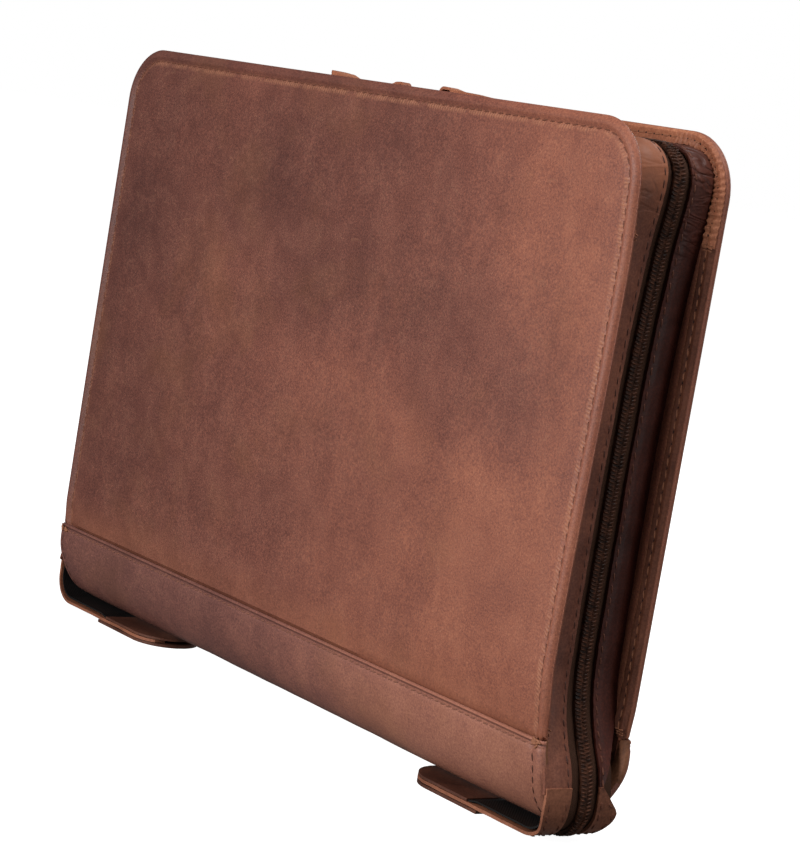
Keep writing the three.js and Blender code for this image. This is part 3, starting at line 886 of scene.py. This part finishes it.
def bandPiece():
    # columns by their distance from the band's end, first inside and then on the outer face
    depth = -band["endWall"]
    steps = [(band["endHem"], depth), (0.0052, depth), (0.0014, depth), (0.0004, depth + 0.0006),
             (0.0, depth / 2)]
    steps += [(fromEnd, None) for fromEnd in (0.0001, 0.0005, 0.0010, 0.0016, 0.0022, 0.0028, 0.0034, 0.0042,
                                              0.0049, 0.0056, 0.0063, 0.0072, 0.010, 0.016)]
    plain = 74
    columns = 2 * (len(steps) - 1) + plain
    rows = 96
    half = [0.0, 0.0002, 0.0005, 0.0009, 0.0013, 0.0016, 0.0019, 0.0023, 0.0027, 0.0030, 0.0033, 0.0038,
            0.0048]
    first = half[-1]
    more = rows // 2 + 1 - len(half)
    half += [first + (bandLength / 2 - first) * (i + 1) / more for i in range(more)]
    lengths = half + [bandLength - length for length in reversed(half[:-1])]

    def shape(along, across):
        column = round(along * columns)
        length = lengths[round(across * rows)]
        index = min(column, columns - column)
        if index < len(steps):
            fromEnd, depth = steps[index]
            x = (bandEndX(length) - fromEnd) * (-1 if column < columns / 2 else 1)
        else:
            share = (column - (len(steps) - 1)) / plain
            x = (bandEndX(length) - steps[-1][0]) * (2 * share - 1)
            fromEnd, depth = halfWidth - abs(x), None
        return bandPoint(x, length, bandRelief(length, fromEnd, x) if depth is None else depth)[0]

    bm = bentGrid(shape, columns, rows, wall=-band["wall"], weave=lambda a, b: (a, lengths[round(b * rows)]))
    piece = finishMesh("spine_band_leather", bm, "band", ["spine_band"])
    piece.data.materials.append(finishes["bandHem"])
    for face in piece.data.polygons:
        place = face.center
        share = (place.y / halfDepth) ** 2 + ((seam - place.z) / spineDrop) ** 2
        face.material_index = int(share < 0.80 and abs(place.x) > 0.160)

    seams = (("spine_front_seam", band["stitch"]), ("spine_back_seam", bandLength - band["stitch"]))
    for name, length in seams:
        def onSeam(run, length=length):
            x = halfWidth - band["seamEnd"] - run
            return bandPoint(x, length, bandRelief(length, halfWidth - abs(x), x))
        seamStitches(name, onSeam, 2 * (halfWidth - band["seamEnd"]), "bandThread",
                     band["pitch"])

    for name, side in (("spine_right_end", 1), ("spine_left_end", -1)):
        def onEnd(run, side=side):
            length = band["stitch"] + run
            inset = band["rightStitch"] if side > 0 else band["leftStitch"]
            x = side * (bandEndX(length) - inset)
            return bandPoint(x, length, bandRelief(length, inset, x))
        seamStitches(name, onEnd, bandLength - 2 * band["stitch"], "darkThread")


def bandEndThreads():
    for name, side in (("spine_right_end", 1), ("spine_left_end", -1)):
        for part, first, way in (("back", bandLength - 0.001, -1), ("front", 0.001, 1)):
            def inside(run, side=side, first=first, way=way):
                length = first + way * run
                x = side * (bandEndX(length) - band["insideStitch"])
                place, out = bandPoint(x, length, -band["endWall"] - 0.0001)
                return place, -out
            seamStitches(f"{name}_inside_{part}", inside, band["insideLength"], "copperThread",
                         band["insidePitch"])

        knot = []
        for i in range(band["knotBeads"]):
            length = 0.0032 * rng.random()
            x = side * (bandEndX(length) - rng.uniform(0.0018, 0.0058))
            place, out = bandPoint(x, length, 0.0002)
            along = Vector((side, rng.uniform(-0.3, 0.3), rng.uniform(-1.1, 1.1))).normalized()
            knot.append((place, along, out, rng.uniform(0.8, 1.2)))
        beads(name + "_knot", knot, band["knotSize"], "copperThread")


bandPiece()
bandEndThreads()
print("case: spine band made")


# Gusset strips, with a raw edge and a seam beside the zip

strip = {"wall": case["stripWall"], "stitch": 0.0016, "hemGap": innerFace - tabHalf, "footReach": 0.0192,
         "backFoot": 0.0072, "slant": 0.021, "footOpening": 0.0016, "joint": 0.0208}


def stripReach(length, side):
    # as far as the cover, or only to the hem where that lies in the way
    # the foot reaches past the band's end at the front right, and is cut slantwise at the back
    place = gusset.at(length)[0]
    over = min(halfWidth - abs(place.x), coverTop - place.y)
    share = smooth(hem["wide"] + 0.0002, hem["wide"] + 0.0012, over)
    inside = faceInside[side] + flare(side, place.x, place.y)
    reach = inside - strip["hemGap"] + (strip["hemGap"] - 0.0002) * share
    if side < 0:
        foot = (1 - smooth(0.027, 0.036, place.y)) * (place.x > 0)
        return reach + (strip["footReach"] - reach) * foot
    foot = min(max((place.y - strip["joint"]) / strip["slant"], 0), 1)
    return strip["backFoot"] + (reach - strip["backFoot"]) * foot


def stripLow(length, side):
    # the front strip leaves the coil further below
    place = gusset.at(length)[0]
    return stripInner + strip["footOpening"] * (1 - smooth(0.030, 0.075, place.y)) * (side < 0)


def stripRelief(length, y, seed):
    near = abs(y) - stripLow(length, math.copysign(1, y)) - strip["stitch"]
    height = -0.00022 * bell(near, 0, 0.0006)
    height += 0.0005 * smooth(stripInner, stripInner + 0.004, abs(y)) * (1 - smooth(0.012, 0.0165, abs(y)))
    return height + 0.00035 * wave(length, y, 0.024, seed) + 0.00018 * wave(length, y, 0.008, seed + 3)


def stripPiece(name, side, seed, look, threadLook):
    start = gusset.lengthAtHeight(strip["joint"]) - 0.002
    end = gusset.total - start

    def shape(along, across):
        length = start + along * (end - start)
        ragged = 0.00025 * wave(length, seed, 0.002, seed) + 0.0003 * wave(length, seed, 0.02, seed)
        low = stripLow(length, side) + ragged
        y = low + across * (stripReach(length, side) - low)
        return onGusset(length, -stripRelief(length, side * y, seed), side * y)

    bm = bentGrid(shape, 460, 12, wall=-strip["wall"] * side)
    finishMesh(name + "_leather", bm, look, [name])

    def onStrip(run):
        length = start + run
        y = stripLow(length, side) + strip["stitch"]
        return onGusset(length, -stripRelief(length, side * y, seed), side * y), gussetOut(length)

    seamStitches(name, onStrip, end - start, threadLook, start=0.001)


stripPiece("front_gusset", -1, 11.0, "gusset", "darkThread")
stripPiece("back_gusset", 1, 14.0, "darkGusset", "seamThread")
print("case: gusset made")


# Zip: two tapes and the meshed teeth of the coil

zipper = {"tapeDepth": 0.0015, "tapeWall": 0.0006, "tapeWide": 0.0124, "coilWide": 0.0054,
          "coilHeight": 0.0018, "coreWall": 0.0003, "pitch": 0.00135,
          "toothHeight": 0.0013, "toothLean": 0.28}
zipStart = soleLength + case["gap"]
zipRun = gusset.total - 2 * zipStart


def tapePiece(name, side):
    def shape(along, across):
        y = 0.0002 + across * zipper["tapeWide"]
        length = zipStart + along * zipRun
        return onGusset(length, zipper["tapeDepth"] + 0.00008 * wave(length, y, 0.003, side), side * y)

    bm = bentGrid(shape, 380, 4, wall=-zipper["tapeWall"] * side,
                  weave=lambda along, across: (along * zipRun, across * zipper["tapeWide"]))
    finishMesh(name + "_cloth", bm, "tape", [name])


def coilPiece():
    half = zipper["coilWide"] / 2
    low = zipper["tapeDepth"] - case["gap"]
    high = low - zipper["coilHeight"]
    section = [(-half * 0.94, low), (-half * 0.9, low - 0.0009), (-half * 0.5, high + 0.0005),
               (0, high + 0.0006), (half * 0.5, high + 0.0005), (half * 0.9, low - 0.0009),
               (half * 0.94, low)]

    def shape(along, across):
        y, depth = section[round(across * 6)]
        return onGusset(zipStart + along * zipRun, depth, y)

    bm = bentGrid(shape, 380, 6, wall=-zipper["coreWall"])
    finishMesh("zip_coil_core", bm, "coil", ["zip_coil"])
    teeth = []
    for i in range(int(zipRun / zipper["pitch"])):
        for side in (-1, 1):
            length = zipStart + (i + 0.5 + 0.25 * side) * zipper["pitch"]
            ahead = (onGusset(length + 0.0004, high, 0) - onGusset(length - 0.0004, high, 0)).normalized()
            across = (Vector((0, side, 0)) + ahead * zipper["toothLean"]).normalized()
            place = onGusset(length, high + 0.0006, side * half * 0.52)
            teeth.append((place, across, gussetOut(length), 1.0))
    size = (half * 1.02, zipper["pitch"] * 0.62, zipper["toothHeight"])
    beads("zip_coil_teeth", teeth, size, "coil")


tapePiece("front_tape", -1)
tapePiece("back_tape", 1)
coilPiece()
print("case: zip made")


# Zip ends: leather on both sides of the coil, black lining inside, a patch and a sole at the round tip

tab = {"lapHeight": 0.0005, "border": 0.0018, "liningWall": 0.0006, "liningInset": 0.0006,
       "patchWall": 0.0009, "soleWall": 0.0012, "shoulder": 0.0034, "backCut": 0.0082,
       "backNarrow": 0.0028, "trim": 0.0032, "leatherStart": 0.0045, "seamGap": 0.0003}


def tipHalf(near):
    left = max(tabHalf - max(near - tab["trim"], 0.0), 0.0)
    return leg(tabHalf, left)


def tabLength(side, near):
    return near if side > 0 else gusset.total - near


def tabSheet(name, side, start, end, low, high, depth, wall, look, node, rows=8, columns=60):
    # low and high give the edges on Y by the distance from the tip, and depth how far below the gusset's face
    def shape(along, across):
        near = start + along * (end - start)
        y = low(near) + across * (high(near) - low(near))
        return onGusset(tabLength(side, near), depth(near, y), y)

    finishMesh(name, bentGrid(shape, columns, rows, wall=-wall * side), look, [node])


def tabPieces(label, side, seed):
    end = gusset.lengthAtHeight(strip["joint"])
    curlEnd = gusset.lengthAtHeight(stripFloor + case["curl"])
    liningDepths = (zipper["tapeDepth"], zipper["tapeDepth"] + zipper["tapeWall"] + case["gap"])

    def outerHalf(near, sign):
        # wider up to the joint in front, narrower and cut off slantwise behind
        half = tipHalf(near) + 0.00025 * wave(near, seed, 0.013, seed)
        if sign < 0:
            return half + tab["shoulder"] * smooth(curlEnd - 0.014, curlEnd, near) * (side > 0)
        curled = 1 - smooth(curlEnd - 0.012, curlEnd - 0.003, near)
        half -= tab["backNarrow"] * smooth(soleLength, soleLength + 0.01, near) * curled
        return half - tab["backCut"] * min(max((near - curlEnd + 0.001) / (end - curlEnd + 0.001), 0), 1)

    def leatherDepth(near, y):
        lap = smooth(end - 0.008, end - 0.002, near) * tab["lapHeight"]
        lap += 0.0003 * smooth(end - 0.002, end, near)
        return -lap + 0.0002 * wave(near, y, 0.009, seed)

    def liningDepth(near, y):
        share = smooth(patchLength + tab["seamGap"], soleLength - tab["seamGap"], near)
        return liningDepths[0] + share * (liningDepths[1] - liningDepths[0])

    for part, sign in (("front", -1), ("back", 1)):
        tip = tab["trim"] + tab["leatherStart"]

        def outer(near, sign=sign):
            return sign * max(outerHalf(near, sign), stripInner + 0.001)

        def inner(near, sign=sign):
            return sign * (stripInner + strip["footOpening"] * (sign < 0) * smooth(0.05, 0.075, near))

        low, high = (outer, inner) if sign < 0 else (inner, outer)
        tabSheet(f"{label}_tab_{part}_leather", side, tip, end, low, high, leatherDepth, case["stripWall"],
                 "tab", f"{label}_tab_{part}")

        for seamName, edgeAt, shift in (("border", outer, -tab["border"]), ("zip", inner, strip["stitch"])):
            def onTab(run, sign=sign, edgeAt=edgeAt, shift=shift):
                near = soleLength + run
                length = tabLength(side, near)
                y = edgeAt(near) + sign * shift
                return onGusset(length, leatherDepth(near, 0), y), gussetOut(length)
            seamStitches(f"{label}_tab_{part}_{seamName}", onTab, end - soleLength, "seamThread")

    def backTip(near):
        return -tipHalf(near)

    tabSheet(f"{label}_tab_lining_cloth", side, patchLength + tab["seamGap"], jointLength,
             lambda near: 0.0005 - tipHalf(near), lambda near: outerHalf(near, 1) - tab["liningInset"],
             liningDepth, tab["liningWall"], "lining", f"{label}_tab_lining", rows=10, columns=70)
    tips = (("patch", patchLength, case["stripWall"] + case["gap"], tab["patchWall"]),
            ("sole", soleLength, -case["gap"] - tab["soleWall"], tab["soleWall"]))
    for part, reach, depth, wall in tips:
        tabSheet(f"{label}_tab_{part}_leather", side, tab["trim"] + 0.0002, reach, backTip, tipHalf,
                 lambda near, y, depth=depth: depth, wall, "patch",
                 f"{label}_tab_{part}", columns=40)


tabPieces("right", 1, 21.0)
tabPieces("left", -1, 25.0)
print("case: zip ends made")


# Sliders keep their solids, and the pulls are strips folded round the sliders' pins

for label in ("left", "right"):
    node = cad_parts[f"{label}_slider"]
    node.data.materials.clear()
    node.data.materials.append(finishes["metal"])

# a pull's rows are its height above the pin by the share of its length
pullSizes = {"wall": 0.0011, "width": 0.009, "neck": 0.004, "pinRadius": 0.0009, "pinShift": 0.003,
             "play": 0.0003, "length": 0.047, "loopSteps": 26, "runSteps": 44}
pulls = {
    "left": {"side": -1, "eye": 0.0003,
             "rows": [(0.08, -0.0004), (0.25, -0.0016), (0.5, -0.0012), (0.72, 0.0003), (0.88, 0.0018),
                      (1, 0.0022)]},
    "right": {"side": 1, "eye": 0.0006,
              "rows": [(0.08, 0.0008), (0.22, 0.0008), (0.5, 0.0002), (0.75, -0.0012), (1, -0.002)]},
}


def pullPiece(label):
    look = pulls[label]
    low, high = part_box(f"{label}_slider")
    side = look["side"]
    wall = pullSizes["wall"]
    middleX = (low.x + high.x) / 2 + side * pullSizes["pinShift"]
    middleZ = high.z - 1.5 * pullSizes["pinRadius"] + look["eye"]
    eye = pullSizes["pinRadius"] + pullSizes["play"] + look["eye"] + wall
    along = [(0, 0)] + look["rows"]

    def lift(share):
        for (a, low), (b, high) in zip(along, along[1:]):
            if share <= b:
                return low + (high - low) * smooth(a, b, share)
        return along[-1][1]

    # out along the lower run, round the pin and back along the upper run
    loop = pullSizes["loopSteps"]
    run = pullSizes["runSteps"]
    total = 2 * run + loop

    def shape(lengthShare, across):
        index = lengthShare * total
        if index < run or index > run + loop:
            top = index > run + loop
            share = (index - run - loop) / run if top else 1 - index / run
            x = middleX + side * (eye * 0.8 + share * (pullSizes["length"] - eye * 0.8))
            apart = wall * 1.02 + (eye - wall) * bell(share, 0, 0.06)
            z = middleZ + lift(share) + (apart if top else -apart)
        else:
            turn = math.pi * ((index - run) / loop - 0.5)
            x = middleX - side * eye * math.cos(turn)
            z = middleZ + eye * math.sin(turn)
            share = 0
        width = pullSizes["neck"] + (pullSizes["width"] - pullSizes["neck"]) * smooth(0.02, 0.14, share)
        width *= math.sqrt(max(1 - (max(share - 0.9, 0) / 0.1) ** 2, 0.06))
        return Vector((x, (across - 0.5) * width, z))

    bm = bentGrid(shape, total, 6, wall=wall * side)
    finishMesh(f"{label}_pull_leather", bm, "hem", [f"{label}_pull"])


pullPiece("left")
pullPiece("right")
print("case: pulls made")


# Floor, light and camera

def studio():
    bm = bmesh.new()
    bmesh.ops.create_grid(bm, x_segments=1, y_segments=1, size=20)
    mesh = bpy.data.meshes.new("studio_floor")
    bm.to_mesh(mesh)
    bm.free()
    floor = bpy.data.objects.new("studio_floor", mesh)
    scene.collection.objects.link(floor)
    finish = Finish("pale studio floor")
    x, y, z = finish.parts(finish.place())
    far = (x * x + y * y).between(0.10, 0.60)
    glow = finish.mix(far, (0.95, 0.95, 0.95, 1), (1, 1, 1, 1))
    finish.put((0.5, 0.5, 0.5, 1), 0.9, shine=0.1, Emission_Color=glow, Emission_Strength=1.0)
    mesh.materials.append(finish.material)
    floor.visible_diffuse = False
    floor.visible_glossy = False

    # a white backdrop for the camera, and a dim one that lights the case
    world = bpy.data.worlds.new("studio")
    scene.world = world
    world.use_nodes = True
    tree = world.node_tree
    tree.nodes.clear()
    mixer = tree.nodes.new("ShaderNodeMixShader")
    for place, colour, strength in ((1, (0.96, 0.98, 1, 1), 0.11), (2, (1, 1, 1, 1), 1.0)):
        backdrop = tree.nodes.new("ShaderNodeBackground")
        backdrop.inputs[0].default_value = colour
        backdrop.inputs[1].default_value = strength
        tree.links.new(backdrop.outputs[0], mixer.inputs[place])
    path = tree.nodes.new("ShaderNodeLightPath")
    output = tree.nodes.new("ShaderNodeOutputWorld")
    tree.links.new(path.outputs["Is Camera Ray"], mixer.inputs[0])
    tree.links.new(mixer.outputs[0], output.inputs[0])


lamps = [
    {"name": "key", "from": (0.20, -1.12, 0.50), "energy": 11, "size": 0.45},
    {"name": "low_front", "from": (-0.22, -1.3, 0.04), "energy": 9.5, "size": 0.7},
    {"name": "top", "from": (0.42, 0.20, 1.25), "energy": 9, "size": 0.4},
    {"name": "behind", "from": (-0.35, 1.30, 0.55), "energy": 7, "size": 0.7},
    {"name": "rim", "from": (1.30, 0.30, 0.30), "energy": 2.2, "size": 0.4},
]
lampAim = Vector((0, 0, 0.12))


def addLamp(lamp):
    light = bpy.data.lights.new(lamp["name"], "AREA")
    light.energy = lamp["energy"]
    light.size = lamp["size"]
    piece = bpy.data.objects.new(lamp["name"], light)
    scene.collection.objects.link(piece)
    piece.location = lamp["from"]
    piece.rotation_euler = (lampAim - Vector(lamp["from"])).to_track_quat("-Z", "Y").to_euler()


# The photograph's camera, fitted to edges and corners in it: degrees, and millimetres for lens and sensor
photoCamera = {"place": (0.8071, -0.5946, 0.2331), "azimuth": 52.38, "elevation": 6.65, "roll": 9.69,
               "lens": 106.0, "sensor": 36}


def addCamera():
    data = bpy.data.cameras.new("photo_camera")
    data.lens = photoCamera["lens"]
    data.sensor_width = photoCamera["sensor"]
    data.clip_start = 0.01
    azimuth, elevation, roll = (math.radians(photoCamera[key]) for key in ("azimuth", "elevation", "roll"))
    back = Vector((math.sin(azimuth) * math.cos(elevation), -math.cos(azimuth) * math.cos(elevation),
                   math.sin(elevation)))
    level = Vector((0, 0, 1)).cross(back).normalized()
    upright = back.cross(level)
    right = math.cos(roll) * level + math.sin(roll) * upright
    up = math.cos(roll) * upright - math.sin(roll) * level
    camera = bpy.data.objects.new("photo_camera", data)
    scene.collection.objects.link(camera)
    turned = Matrix((right, up, back)).transposed().to_4x4()
    camera.matrix_world = Matrix.Translation(photoCamera["place"]) @ turned
    scene.camera = camera


studio()
for lamp in lamps:
    addLamp(lamp)
addCamera()
scene.view_settings.view_transform = "Standard"
print("case: studio made")

bpy.context.view_layer.update()
